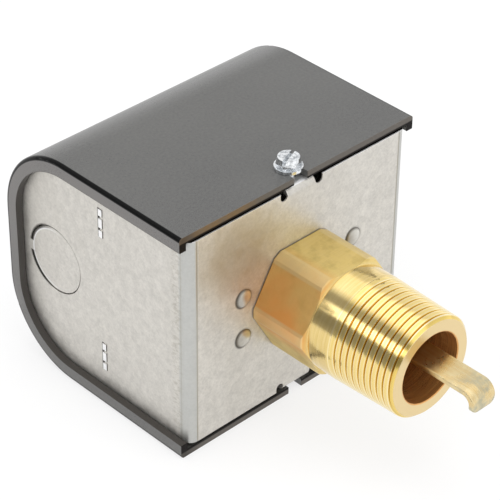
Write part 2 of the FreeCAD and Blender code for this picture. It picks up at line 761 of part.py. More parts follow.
def switch_case():
    """Snap switch case with two ears for the leaf's pin, the plunger's socket and its screw holes."""
    half = case_width / 2
    case = block(-half, half, case_front_y, case_back_y, case_bottom, case_top)
    case = case.makeFillet(case_corner, edges_along(case, Vector(0, 1, 0), lambda c: True))
    ears = []
    for y in ear_places():
        ears.append(rod("y", leaf_eye_radius, y, y + ear_thickness, (leaf_pivot_x, leaf_pivot_z)))
        left = leaf_pivot_x - leaf_eye_radius
        right = leaf_pivot_x + leaf_eye_radius
        ears.append(block(left, right, y, y + ear_thickness, leaf_pivot_z, case_bottom + case_corner))
    first, last = ear_places()
    pin_place = (leaf_pivot_x, leaf_pivot_z)
    socket_place = (plunger_x, leaf_y + leaf_width / 2)
    socket_top = case_bottom + plunger_socket
    cuts = [
        rod("y", leaf_pin_radius + seat_clearance, first, last + ear_thickness, pin_place),
        rod("z", plunger_radius + running_clearance, case_bottom, socket_top, socket_place),
    ]
    for place in case_screw_places():
        cuts.append(rod("y", case_screw_radius + seat_clearance, case_front_y, case_back_y, place))
    for place in terminal_places():
        hole_start = case_back_y - terminal_screw_length - moving_clearance
        cuts.append(rod("y", terminal_screw_radius + seat_clearance, hole_start, case_back_y, place))
    return case.fuse(ears).cut(cuts).removeSplitter()


def ear_places():
    """Y where each of the two ears starts."""
    return (leaf_y - moving_clearance - ear_thickness, leaf_y + leaf_width + moving_clearance)


def leaf_pin():
    """Hinge pin of the leaf, held in the case's ears."""
    first, last = ear_places()
    return rod("y", leaf_pin_radius, first, last + ear_thickness, (leaf_pivot_x, leaf_pivot_z))


def switch_leaf():
    """Leaf that the operating lever lifts: an eye round the pin and a straight blade."""
    eye = rod("y", leaf_eye_radius, leaf_y, leaf_y + leaf_width)
    blade = block(0, leaf_reach, leaf_y, leaf_y + leaf_width, -leaf_thickness / 2, leaf_thickness / 2)
    tips = edges_along(blade, Vector(0, 0, 1), lambda c: c.x > leaf_reach - 0.1)
    leaf = eye.fuse(blade.makeFillet(leaf_width / 3, tips))
    leaf = leaf.cut(rod("y", leaf_pin_radius + running_clearance, leaf_y - 1, leaf_y + leaf_width + 1))
    leaf.rotate(Vector(0, 0, 0), Vector(0, 1, 0), leaf_slope)
    leaf.translate(Vector(leaf_pivot_x, 0, leaf_pivot_z))
    return leaf.removeSplitter()


def switch_plunger():
    """Round-ended plunger between the case and the leaf."""
    slope = math.radians(leaf_slope)
    leaf_top = leaf_pivot_z - plunger_offset * math.tan(slope) + leaf_thickness / 2 / math.cos(slope)
    bottom = leaf_top + plunger_radius * math.tan(slope) + moving_clearance / 2
    place = (plunger_x, leaf_y + leaf_width / 2)
    body = rod("z", plunger_radius, bottom, case_bottom + plunger_inside, place)
    rim = [edge for edge in body.Edges if edge.CenterOfMass.z < bottom + 0.01 and edge.Closed]
    return body.makeFillet(plunger_radius / 2, rim)


def switch_screws():
    """Two screws through the case into the switch plate."""
    screws = []
    for place in case_screw_places():
        shank = rod("y", case_screw_radius, plate_front_y, case_back_y, place)
        head = rod("y", case_screw_head_radius, case_back_y, case_back_y + case_screw_head_height, place)
        screws.append(shank.fuse(head).removeSplitter())
    return Part.makeCompound(screws)


def terminal_lugs():
    """Three contact plates on the back of the case."""
    lugs = []
    back = case_back_y + lug_thickness
    for x, z in terminal_places():
        left = x - lug_width / 2
        bottom = z - lug_height / 2
        lug = block(left, left + lug_width, case_back_y, back, bottom, bottom + lug_height)
        lug = lug.makeFillet(lug_thickness, edges_along(lug, Vector(0, 1, 0), lambda c: True))
        lugs.append(lug.cut(rod("y", terminal_screw_radius + seat_clearance, case_back_y, back, (x, z))))
    return Part.makeCompound(lugs)


def terminal_screws():
    """Three wiring screws, one through each contact plate."""
    screws = []
    head_start = case_back_y + lug_thickness
    for place in terminal_places():
        shank = rod("y", terminal_screw_radius, case_back_y - terminal_screw_length, head_start, place)
        head = rod("y", terminal_head_radius, head_start, head_start + terminal_head_height, place)
        screws.append(shank.fuse(head).removeSplitter())
    return Part.makeCompound(screws)


def ground_screw():
    """Earth screw in the switch plate."""
    place = (ground_screw_x, ground_screw_z)
    shank = rod("y", ground_screw_radius, plate_front_y - ground_screw_past, plate_back_y, place)
    head = rod("y", ground_head_radius, plate_back_y, plate_back_y + ground_head_height, place)
    return shank.fuse(head).removeSplitter()


nodes = {
    "cover": cover,
    "base_frame": base_frame,
    "frame_rivets": frame_rivets,
    "cover_screw": cover_screw,
    "fitting_body": fitting_body,
    "body_locknut": body_locknut,
    "mechanism_bracket": mechanism_bracket,
    "pivot_ring": pivot_ring,
    "pivot_pin": pivot_pin,
    "arm_hub": arm_hub,
    "paddle_arm": paddle_arm,
    "arm_rivets": arm_rivets,
    "arm_stem": arm_stem,
    "bellows": bellows,
    "bellows_collar": bellows_collar,
    "bellows_cap": bellows_cap,
    "operating_lever": operating_lever,
    "lever_nut": lever_nut,
    "range_screw": range_screw,
    "spring_seat": spring_seat,
    "range_spring": range_spring,
    "switch_plate": switch_plate,
    "insulator_sheet": insulator_sheet,
    "switch_case": switch_case,
    "switch_plunger": switch_plunger,
    "switch_leaf": switch_leaf,
    "leaf_pin": leaf_pin,
    "switch_screws": switch_screws,
    "terminal_lugs": terminal_lugs,
    "terminal_screws": terminal_screws,
    "ground_screw": ground_screw,
}

os.makedirs("parts", exist_ok=True)
for node_name, make in nodes.items():
    write(node_name, make())
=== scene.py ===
import json
import bmesh
import bpy
import numpy as np
from math import cos, sin, tan, radians, pi
from mathutils import Matrix, Vector


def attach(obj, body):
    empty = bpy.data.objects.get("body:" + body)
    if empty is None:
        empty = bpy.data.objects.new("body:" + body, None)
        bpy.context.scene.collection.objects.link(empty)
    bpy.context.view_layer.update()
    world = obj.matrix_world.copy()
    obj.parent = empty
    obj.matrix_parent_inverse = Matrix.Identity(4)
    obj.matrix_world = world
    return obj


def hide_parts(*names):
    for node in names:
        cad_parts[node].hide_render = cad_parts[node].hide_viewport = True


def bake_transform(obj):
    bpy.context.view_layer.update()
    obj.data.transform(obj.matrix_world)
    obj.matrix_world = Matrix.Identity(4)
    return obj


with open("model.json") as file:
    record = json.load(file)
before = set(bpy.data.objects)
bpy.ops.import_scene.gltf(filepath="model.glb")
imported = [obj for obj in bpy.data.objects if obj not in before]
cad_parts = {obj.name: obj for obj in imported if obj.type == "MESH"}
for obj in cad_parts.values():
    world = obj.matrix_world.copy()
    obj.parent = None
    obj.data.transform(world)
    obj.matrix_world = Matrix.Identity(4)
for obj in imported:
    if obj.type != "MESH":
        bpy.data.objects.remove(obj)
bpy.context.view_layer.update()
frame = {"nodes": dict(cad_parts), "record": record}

# Paddle flow switch: dark wrap-round cover, zinc sheet base, brass pipe body and hooked brass arm.
# Lengths in the dictionaries are millimetres; meshes are metres, in the same frame as the solids.
mm = 0.001
mergeWithin = 2e-6                                             # points nearer than this, in metres, become one

# the brass body's sizes, read by its mesh and by its finish; its hexagon starts at y 0 and its thread points to -Y
brassBody = {
    "acrossFlats": 33.3, "blankRadius": 18.4, "faceRadius": 16.2, "hexLength": 20.3, "chamferAngle": 30.0,
    "shankRadius": 16.6, "shankLength": 6.35, "threadLength": 24.25, "pitch": 25.4 / 11.5, "taper": 1.0 / 16.0,
    "grooveDepth": 0.62, "grooveHalf": 0.16, "flank": 0.12, "grooveAt": -0.03,      # last three in pitches
    "crown": 0.10, "runOutTurns": 1.6, "endChamfer": 1.1, "boreRadius": 11.1, "boreEnd": 16.0, "throatRadius": 8.5,
    "spigotRadius": 12.7, "spigotEnd": 30.5, "edge": 0.22, "cornerSteps": 6, "flatSteps": 26,
}


class Wire:
    # one output socket; arithmetic on it adds Math nodes to its tree, and other is a number or another Wire
    def __init__(self, tree, socket):
        self.tree = tree
        self.socket = socket

    def math(self, operation, *others):
        node = self.tree.nodes.new("ShaderNodeMath")
        node.operation = operation
        for slot, value in zip(node.inputs, (self,) + others):
            if isinstance(value, Wire):
                self.tree.links.new(value.socket, slot)
            else:
                slot.default_value = value
        return Wire(self.tree, node.outputs[0])

    def __add__(self, other): return self.math("ADD", other)
    def __radd__(self, other): return self.math("ADD", other)
    def __mul__(self, other): return self.math("MULTIPLY", other)
    def __rmul__(self, other): return self.math("MULTIPLY", other)
    def __sub__(self, other): return self.math("SUBTRACT", other)
    def __rsub__(self, other): return (self * -1.0) + other
    def __truediv__(self, other): return self.math("DIVIDE", other)
    def __neg__(self): return self * -1.0
    def __abs__(self): return self.math("ABSOLUTE")

    def atLeast(self, other): return self.math("MAXIMUM", other)
    def atMost(self, other): return self.math("MINIMUM", other)
    def root(self): return self.math("SQRT")

    # 0 at start, 1 at end, straight between; start may lie above end
    def fade(self, start, end): return ((self - start) / (end - start)).atLeast(0.0).atMost(1.0)

    # 1 within half a width of middle, gone at a whole width
    def band(self, middle, width): return abs(self - middle).fade(width, width * 0.5)


def setStops(band, stops):
    # grey stops of a ramp, (place, grey) in order of place
    band.elements[0].position, band.elements[1].position = stops[0][0], stops[-1][0]
    for place, grey in stops[1:-1]:
        band.elements.new(place)
    for element, (place, grey) in zip(band.elements, stops):
        element.color = (grey, grey, grey, 1.0)


class Finish:
    # the node tree of one material or world; add() puts in any node, settings first and then its sockets
    def __init__(self, owner):
        owner.use_nodes = True
        self.owner = owner
        self.tree = owner.node_tree
        self.tree.nodes.clear()

    def add(self, kind, settings=None, sockets=None, output=0):
        node = self.tree.nodes.new(kind)
        for key, value in (settings or {}).items():
            if key == "stops":
                setStops(node.color_ramp, value)
            else:
                setattr(node, key, value)
        for key, value in (sockets or {}).items():
            slot = node.inputs[key]
            if isinstance(value, Wire):
                self.tree.links.new(value.socket, slot)
            elif slot.type == "RGBA":
                slot.default_value = (*value, 1.0)
            else:
                slot.default_value = value
        if isinstance(output, tuple):
            return [Wire(self.tree, node.outputs[key]) for key in output]
        return Wire(self.tree, node.outputs[output]) if node.outputs else None

    def place(self):
        return self.add("ShaderNodeTexCoord", output="Object")

    def axes(self):
        # X, Y and Z on the object, in metres
        return self.add("ShaderNodeSeparateXYZ", None, {"Vector": self.place()}, output=("X", "Y", "Z"))

    def noise(self, perMetre, detail=3.0, roughness=0.55, stretch=(1, 1, 1)):
        spot = self.add("ShaderNodeMapping", None, {"Vector": self.place(), "Scale": stretch})
        return self.add("ShaderNodeTexNoise", None,
                        {"Vector": spot, "Scale": perMetre, "Detail": detail, "Roughness": roughness})

    def cells(self, perMetre):
        # a random value from 0 to 1 for each crystal-like cell
        colour = self.add("ShaderNodeTexVoronoi", None, {"Vector": self.place(), "Scale": perMetre}, output="Color")
        return self.add("ShaderNodeSeparateColor", None, {"Color": colour})

    def mix(self, share, first, second):
        return self.add("ShaderNodeMix", {"data_type": "RGBA"}, {0: share, 6: first, 7: second}, output=2)

    def rays(self):
        # three values, 1 for a ray from the camera, off something glossy, or through something clear
        return self.add("ShaderNodeLightPath", output=("Is Camera Ray", "Is Glossy Ray", "Is Transmission Ray"))

    def bump(self, height, distance, strength=1.0):
        return self.add("ShaderNodeBump", None, {"Height": height, "Distance": distance, "Strength": strength})

    def shine(self, **sockets):
        named = {key.replace("_", " "): value for key, value in sockets.items()}
        return self.close(self.add("ShaderNodeBsdfPrincipled", None, named))

    def close(self, shader):
        kind = "ShaderNodeOutputWorld" if isinstance(self.owner, bpy.types.World) else "ShaderNodeOutputMaterial"
        self.add(kind, None, {"Surface": shader})
        return self.owner


def newFinish(name):
    # an empty material under this name, ready for its nodes
    return Finish(bpy.data.materials.new(name))


coverPaint = {
    "paint": (0.032, 0.032, 0.031), "dusty": (0.078, 0.077, 0.071), "paintedLipLight": (0.112, 0.103, 0.097),
    "bend": (0.006, 0.006, 0.006), "rawEdge": (0.060, 0.048, 0.036), "reflectedBrass": (0.115, 0.060, 0.012),
    "scaleAndShade": (0.010, 0.008, 0.007), "gloss": 0.30,
    "top": 38.3, "front": 20.7, "rear": 95.9, "rearRadius": 26.3, "side": 45.5,
    "lip": 4.6, "sheet": 2.3, "bendRadius": 1.1,
    "lipShade": (-34.0, 8.0),                                  # z over which the lip's painted lightening grows, so the lip is darker towards the bottom
    "reflectionX": (-13.0, -24.0), "reflectionZ": (0.0, 20.0),           # where the painted brass reflection on the front edge starts and is full
    "cornerX": (-38.0, -44.0),                                 # the front edge's left corner, darkened all over
}

def makeCoverPaint(c):
    # depth = how far a point lies inside the cover's round-cornered side view; the lip's raw edge is deepest
    f = newFinish("satinDarkPaint")
    x, y, z = f.axes()
    backward = (y - (c["rear"] - c["rearRadius"]) * mm).atLeast(0.0)
    upward = (abs(z) - (c["top"] - c["rearRadius"]) * mm).atLeast(0.0)
    depth = c["rearRadius"] * mm - (backward * backward + upward * upward).root()
    side = abs(x)
    cloud = f.noise(24.0, 4.0)
    peel = f.noise(1400.0, 2.0, 0.6)
    fine = f.noise(4200.0, 2.0, 0.5)
    speck = f.noise(1150.0, 3.0, 0.7)
    colour = f.mix(cloud.fade(0.35, 0.75) * 0.25 + speck.fade(0.30, 0.70) * 0.75, c["paint"], c["dusty"])
    # side lips get painted light: lighter than the top, unevenly and more towards the top; the bend between them gets
    # a near-black painted reflection line
    lip = side.fade((c["side"] - 0.25) * mm, (c["side"] - 0.02) * mm) * depth.fade(0.9 * mm, 1.3 * mm)
    colour = f.mix(lip * (0.10 + cloud * 0.3 + z.fade(c["lipShade"][0] * mm, c["lipShade"][1] * mm) * 0.55), colour, c["paintedLipLight"])
    # the bend's near-black line is a painted dark reflection
    bend = side.fade((c["side"] - c["bendRadius"] + 0.02) * mm, (c["side"] - c["bendRadius"] + 0.16) * mm)
    bend = bend * depth.fade((c["bendRadius"] + 0.15) * mm, c["bendRadius"] * mm)
    colour = f.mix(bend, colour, c["bend"])
    # the cut front edge: raw sheet, with a painted reflection of the brass in rust-like flakes on its left part, and
    # near-black dark scale with painted shade along its inner border
    frontEdge = y.fade((c["front"] + 0.22) * mm, (c["front"] + 0.10) * mm)
    lipEdge = depth.fade((c["lip"] - 0.16) * mm, (c["lip"] - 0.06) * mm)
    flakes = f.noise(260.0, 4.0, 0.7).fade(0.35, 0.62)
    reflectedBrassMask = x.fade(c["reflectionX"][0] * mm, c["reflectionX"][1] * mm) * z.fade(c["reflectionZ"][0] * mm, c["reflectionZ"][1] * mm)
    reflectedBrassMask = reflectedBrassMask * (0.35 + flakes * 0.65)
    edge = f.mix(reflectedBrassMask * frontEdge, c["rawEdge"], c["reflectedBrass"])
    # painted shade with dark scale: near-black along the front edge's inner border, at its left corner and on the
    # lip's raw edge
    leftCorner = x.fade(c["cornerX"][0] * mm, c["cornerX"][1] * mm)
    inner = depth.fade((c["sheet"] - 0.75) * mm, (c["sheet"] - 0.45) * mm).atLeast(leftCorner * 0.45)
    edge = f.mix(inner * frontEdge, edge, c["scaleAndShade"])
    edge = f.mix(lipEdge * 0.7, edge, c["scaleAndShade"])
    raw = frontEdge.atLeast(lipEdge)
    colour = f.mix(raw, colour, edge)
    rough = c["gloss"] + (cloud - 0.5) * 0.08 + (fine - 0.5) * 0.14 + raw * 0.25
    normal = f.bump(peel * 0.8 + fine * 0.6 + raw * f.noise(900.0, 3.0) * 2.0, 0.00005, 0.5)
    paintedDarkLines = (bend * (1.0 - raw)).atLeast(inner * frontEdge) * 0.92       # metallic keeps the painted dark reflection on the bend and the painted shade on the front edge's inner border near black
    return f.shine(Base_Color=colour, Roughness=rough, Metallic=paintedDarkLines, Specular_IOR_Level=1.0, Normal=normal)


zincPlate = {
    "bright": (0.775, 0.75, 0.70), "dull": (0.495, 0.475, 0.44), "stain": (0.40, 0.375, 0.32),
    "cool": (0.45, 0.465, 0.455), "crease": (0.34, 0.31, 0.25), "shadow": (0.36, 0.31, 0.21),
    "cut": (0.93, 0.93, 0.93), "paintedShade": (0.030, 0.026, 0.020),
    "side": 42.8, "bendRadius": 3.2, "face": 20.3, "panelTop": 35.4, "notchAt": 6.8, "tabHalf": 5.4,
    "patch": (-23.5, 23.5, 17.0, 13.0),                        # middle x and z, half width, half height
    "slug": (77.3, 0.5, 10.9),                                 # middle y and z, radius
    "slots": (57.3, 0.4, 23.7, 9.7),                           # y, middle z, distance from it, length
    "rivets": (21.9, 7.0),                                     # x and z, either side of the middle
    "scuffs": (4.8, 2.6),                                      # distance behind the panel, width
}

def makeZincSheet(c):
    # crystal cells, clouds and specks from dull to bright, then what lies at set places: patch, bends, cuts, rivets
    f = newFinish("zincPlatedSheet")
    x, y, z = f.axes()
    spangle = f.cells(420.0)
    mottle = f.noise(330.0, 5.0, 0.66)
    smear = f.noise(30.0, 4.0, 0.55, (1, 1, 0.4))
    grain = f.noise(850.0, 3.0, 0.6, (1.0, 1.0, 0.10))
    fine = f.noise(3600.0, 3.0, 0.6)
    speck = f.noise(1250.0, 4.0, 0.72)
    blend = mottle.fade(0.30, 0.70) * 0.35 + spangle * 0.20 + speck.fade(0.30, 0.68) * 0.45
    colour = f.mix(blend, c["dull"], c["bright"])
    colour = f.mix(smear.fade(0.55, 0.80) * 0.30, colour, c["stain"])
    # a painted olive reflection of the brass on the front panel beside it
    side = abs(x)
    onFront = y.fade((c["face"] + 4.2) * mm, (c["face"] + 3.6) * mm)
    patchX, patchZ, patchHalf, patchRise = c["patch"]
    across = (x - patchX * mm) / (patchHalf * mm)
    along = (z - patchZ * mm) / (patchRise * mm)
    patch = (across * across + along * along).root().fade(1.15, 0.45) * onFront
    colour = f.mix(patch * (0.34 + smear * 0.30), colour, c["shadow"])
    # the bend between the front panel and each side: a plainer strip with a creased line along its borders
    strip = side.fade((c["side"] - c["bendRadius"] - 0.1) * mm, (c["side"] - c["bendRadius"] + 0.1) * mm) * onFront
    crease = side.band((c["side"] - c["bendRadius"]) * mm, 0.32 * mm) * onFront
    crease = crease + y.band((c["face"] + c["bendRadius"]) * mm, 0.28 * mm) * 0.5
    colour = f.mix(strip * 0.65, colour, c["cool"])
    colour = f.mix((crease * (0.4 + grain)).atMost(1.0) * 0.8, colour, c["crease"])
    pits = fine.fade(0.30, 0.22)
    colour = f.mix(pits * 0.6, colour, c["crease"])
    # painted highlight along the sheared top edge; painted shade under the cover and in the notches, and painted dark
    # walls where slug and slots are cut
    cut = z.fade((c["panelTop"] - 0.22) * mm, (c["panelTop"] - 0.08) * mm) * onFront
    colour = f.mix(cut, colour, c["cut"])
    # painted shade on the sheet's top and bottom edges behind the front face and inside the notches, away from the
    # middle tab
    paintedShadeMask = y.fade((c["face"] + 0.32) * mm, (c["face"] + 0.42) * mm) * onFront
    paintedShadeMask = paintedShadeMask * abs(z).fade((c["panelTop"] - 3.9) * mm, (c["panelTop"] - 3.4) * mm)
    notch = side.band(c["notchAt"] * mm, 3.4 * mm) * y.fade((c["face"] + 0.04) * mm, (c["face"] + 0.12) * mm)
    paintedShadeMask = paintedShadeMask * notch.atLeast(cut) * side.fade(c["tabHalf"] * mm, (c["tabHalf"] + 0.1) * mm)
    colour = f.mix(paintedShadeMask, colour, c["paintedShade"])
    slugY, slugZ, slugRadius = c["slug"]
    fromSlug = ((y - slugY * mm) * (y - slugY * mm) + (z - slugZ * mm) * (z - slugZ * mm)).root()
    ring = fromSlug.band((slugRadius - 0.15) * mm, 0.95 * mm) * y.fade((slugY + 1.0) * mm, (slugY + 6.0) * mm)
    ring = ring * abs(z - slugZ * mm).fade(1.6 * mm, 1.9 * mm)
    inner = fromSlug.band((slugRadius - 0.95) * mm, 0.35 * mm) * y.fade((slugY - 3.0) * mm, (slugY + 5.0) * mm)
    slotY, slotMiddle, slotAway, slotLength = c["slots"]
    fromSlot = abs(abs(z - slotMiddle * mm) - slotAway * mm)
    slots = y.band((slotY - 0.1) * mm, 0.55 * mm) * fromSlot.fade((slotLength / 2 + 0.3) * mm, slotLength / 2 * mm)
    onSide = side.fade((c["side"] - 0.6) * mm, (c["side"] - 0.3) * mm)
    onSide = onSide * side.fade((c["side"] + 0.12) * mm, (c["side"] + 0.06) * mm)
    # a painted highlight ring on the slug just inside its slit
    colour = f.mix(inner * onSide * 0.8, colour, c["cut"])
    # painted shade: a dark ring over the knockout's slit and dark lines over the slots, on both side panels
    colour = f.mix((ring.atLeast(slots) * onSide).atMost(1.0) * 0.88, colour, c["paintedShade"])
    colour = f.mix(side.fade((c["side"] + 0.12) * mm, (c["side"] + 0.2) * mm), colour, c["cut"])
    # short scuffs down the side panels just behind the bend, and painted shade in a ring round each rivet, darkest on
    # its -X side
    marks = f.noise(800.0, 4.0, 0.75, (1, 0.6, 1.4))
    behindBend, scuffWidth = c["scuffs"]
    scuff = y.band((c["face"] + behindBend) * mm, scuffWidth * mm) * onSide * marks.fade(0.50, 0.57)
    colour = f.mix(scuff * 0.35, colour, c["crease"])
    rivetX, rivetZ = side - c["rivets"][0] * mm, abs(z) - c["rivets"][1] * mm
    shadedSide = (rivetX * x.math("SIGN")).fade(1.5 * mm, -1.5 * mm)
    rim = (rivetX * rivetX + rivetZ * rivetZ).root().fade(3.6 * mm, 3.1 * mm) * onFront * (0.25 + shadedSide * 0.75)
    colour = f.mix(rim * 0.85, colour, c["paintedShade"])
    rough = 0.47 + (mottle - 0.5) * 0.22 + (grain - 0.5) * 0.12 + (spangle - 0.5) * 0.06 - strip * 0.06
    normal = f.bump(grain * 0.6 + mottle * 1.1 + fine * 0.4 + spangle * 0.3 - crease * 1.2, 0.00007, 0.5)
    return f.shine(Base_Color=colour, Metallic=0.82 + paintedShadeMask * 0.18, Roughness=rough, Normal=normal)


rivetZinc = {
    "bright": (0.74, 0.72, 0.67), "dull": (0.30, 0.275, 0.23), "rim": (0.045, 0.035, 0.022),
    "at": (21.9, 7.0), "radius": 3.0,
}

def makeRivetZinc(c):
    # painted light and shade on each head: dark on its -X side and round its rim, lighter towards +X, with clouds
    f = newFinish("darkenedZincRivet")
    x, y, z = f.axes()
    across, along = abs(x) - c["at"][0] * mm, abs(z) - c["at"][1] * mm
    away = (across * across + along * along).root()
    cloud = f.noise(520.0, 4.0, 0.6)
    fine = f.noise(3000.0, 2.0)
    paintedLitSide = (across * x.math("SIGN")).fade(-2.6 * mm, 1.4 * mm)
    colour = f.mix(paintedLitSide * 0.75 + cloud.fade(0.3, 0.7) * 0.25, c["dull"], c["bright"])
    colour = f.mix(away.fade((c["radius"] - 0.75) * mm, (c["radius"] - 0.15) * mm) * 0.8, colour, c["rim"])
    return f.shine(Base_Color=colour, Metallic=0.9, Roughness=0.34 + (cloud - 0.5) * 0.2,
                   Normal=f.bump(cloud + fine * 0.4, 0.00006, 0.5))


screwZinc = {"bright": (0.93, 0.95, 0.97), "dull": (0.42, 0.44, 0.46)}

def makeBrightZinc(c):
    # clouded plating with fine scratches along the turned faces
    f = newFinish("brightZincScrew")
    mottle = f.noise(900.0, 3.0)
    scratch = f.noise(2600.0, 2.0, 0.5, (1.0, 0.15, 1.0))
    colour = f.mix(mottle.fade(0.35, 0.6), c["dull"], c["bright"])
    return f.shine(Base_Color=colour, Metallic=1.0, Roughness=0.13 + mottle * 0.10,
                   Normal=f.bump(scratch + mottle * 0.8, 0.00005, 0.5))


turnedBrass = {
    "bright": (0.86, 0.69, 0.34), "deep": (0.74, 0.54, 0.19), "rich": (0.90, 0.65, 0.12), "crest": (0.96, 0.86, 0.60),
    "groove": (0.50, 0.33, 0.12), "olive": (0.84, 0.65, 0.24), "tarnishAndReflection": (0.92, 0.42, 0.12),
    "grime": (0.08, 0.04, 0.02), "patina": (0.56, 0.40, 0.12), "corner": (0.86, 0.72, 0.42),
    "face": (0.80, 0.64, 0.38), "bore": (0.92, 0.52, 0.18), "boreDeep": (0.58, 0.27, 0.08),
}

def makeTurnedBrass(c, b):
    # bright turned thread and shank, drawn flats with tarnish and a painted reflection, dull bore: told apart by y
    # and distance from the axis
    f = newFinish("turnedBrass")
    x, y, z = f.axes()
    radius = (x * x + z * z).root()
    end = -b["shankLength"] - b["threadLength"]
    crestRadius = (y + b["shankLength"] * mm).atMost(0.0) * (b["taper"] / 2) + b["shankRadius"] * mm
    cloud = f.noise(90.0, 4.0)
    patch = f.noise(48.0, 3.0, 0.5)
    rings = f.noise(2600.0, 3.0, 0.6, (0.03, 1.0, 0.03))       # turning marks round the axis
    drawn = f.noise(900.0, 4.0, 0.65, (1.0, 0.10, 1.0))        # drawn marks along the bar's flats
    fine = f.noise(5200.0, 2.0)
    onHex = y.fade(0.0, 0.8 * mm)
    onThread = (-y).fade((b["shankLength"] + 0.3) * mm, (b["shankLength"] + 1.2) * mm)
    inBore = radius.fade((b["boreRadius"] + 0.5) * mm, (b["boreRadius"] + 0.15) * mm)
    below = radius - crestRadius
    lip = below.band(-0.12 * mm, 0.13 * mm) * onThread         # thin pale line at each side of a groove
    groove = below.fade(-0.22 * mm, -0.50 * mm) * onThread * (1.0 - inBore)
    groove = groove * y.fade((end + 0.2) * mm, (end + 1.0) * mm)
    colour = f.mix(cloud.fade(0.3, 0.7) * 0.5 + rings.fade(0.35, 0.65) * 0.5, c["deep"], c["bright"])
    colour = f.mix(onThread * 0.60, colour, c["rich"])
    colour = f.mix(lip * 0.8, colour, c["crest"])
    colour = f.mix(groove * 0.45, colour, c["groove"])
    colour = f.mix(onHex * (0.50 + drawn.fade(0.35, 0.7) * 0.35), colour, c["olive"])
    stain = f.noise(150.0, 5.0, 0.62)
    colour = f.mix(onHex * stain.fade(0.46, 0.66) * 0.55, colour, c["patina"])
    # a painted reddish reflection on the flats towards -X, fading out downwards below the middle, in tarnish-like
    # patches
    leftward = (-x).fade(4.0 * mm, 12.0 * mm) * z.fade(-9.0 * mm, 1.0 * mm)
    colour = f.mix(onHex * leftward * (0.40 + patch.fade(0.40, 0.62) * 0.55), colour, c["tarnishAndReflection"])
    # pale turned corner strips on the hexagon, partly a painted highlight
    corner = radius.band((b["acrossFlats"] / 2 + 1.6) * mm, 0.38 * mm) * onHex
    colour = f.mix(corner * (0.15 + stain * 0.55), colour, c["corner"])
    endFace = y.fade((end + 0.25) * mm, (end + 0.05) * mm)
    colour = f.mix(endFace * 0.85, colour, c["face"])
    # painted shade at the hexagon's rear end, where it meets the panel
    hexFootShade = y.fade((b["hexLength"] - 0.55) * mm, (b["hexLength"] - 0.1) * mm)
    colour = f.mix(hexFootShade * 0.85, colour, c["grime"])
    bore = f.mix(rings.fade(0.30, 0.70), c["boreDeep"], c["bore"])
    colour = f.mix(inBore, colour, bore)
    rough = 0.12 + (cloud - 0.5) * 0.05 + onHex * 0.34 + (fine - 0.5) * 0.05 + inBore * 0.16 + endFace * 0.22
    height = rings * (1.0 - onHex) * 0.8 + drawn * onHex * 1.3 + fine * 0.25
    return f.shine(Base_Color=colour, Metallic=1.0 - inBore * 0.2, Roughness=rough,
                   Normal=f.bump(height, 0.00004, 0.55))


stripBrass = {
    "gold": (0.70, 0.49, 0.20), "pale": (0.83, 0.73, 0.46), "grey": (0.45, 0.44, 0.33), "pit": (0.30, 0.20, 0.08),
    "hook": (-40.0, -46.0),                                    # y where the grey film starts and is full
}

def makeStripBrass(c):
    # rolling marks along the strip from gold to pale, with a grey film towards the hook and a few pits
    f = newFinish("rolledBrassStrip")
    x, y, z = f.axes()
    cloud = f.noise(130.0, 4.0)
    film = f.noise(240.0, 4.0, 0.65)
    rolled = f.noise(1500.0, 3.0, 0.6, (1.0, 0.06, 0.3))
    colour = f.mix(cloud.fade(0.3, 0.7) * 0.6 + rolled.fade(0.35, 0.65) * 0.4, c["gold"], c["pale"])
    atHook = y.fade(c["hook"][0] * mm, c["hook"][1] * mm)
    colour = f.mix(atHook * film.fade(0.42, 0.60) * 0.8, colour, c["grey"])
    colour = f.mix(film.fade(0.68, 0.74) * 0.5, colour, c["pit"])
    rough = 0.27 + (cloud - 0.5) * 0.14 + film.fade(0.45, 0.7) * 0.10
    return f.shine(Base_Color=colour, Metallic=1.0, Roughness=rough,
                   Normal=f.bump(rolled * 0.7 + cloud + film * 0.8, 0.00006, 0.5))


def makeDrawnMetal(name, low, high, rough, stretch):
    # clouds and drag marks between two colours; stretch is small along the marks
    f = newFinish(name)
    cloud = f.noise(170.0, 4.0)
    drag = f.noise(1500.0, 3.0, 0.5, stretch)
    colour = f.mix(cloud * 0.6 + drag * 0.4, low, high)
    return f.shine(Base_Color=colour, Metallic=1.0, Roughness=rough + drag * 0.15, Normal=f.bump(drag, 0.00003, 0.4))


def makeMoulding(name, low, high, rough):
    # moulded or pressed stuff: soft clouds between two colours and a fine grain
    f = newFinish(name)
    cloud = f.noise(220.0, 4.0)
    grain = f.noise(3500.0, 2.0)
    colour = f.mix(cloud, low, high)
    return f.shine(Base_Color=colour, Roughness=rough + (cloud - 0.5) * 0.12, Normal=f.bump(grain, 0.00003, 0.4))


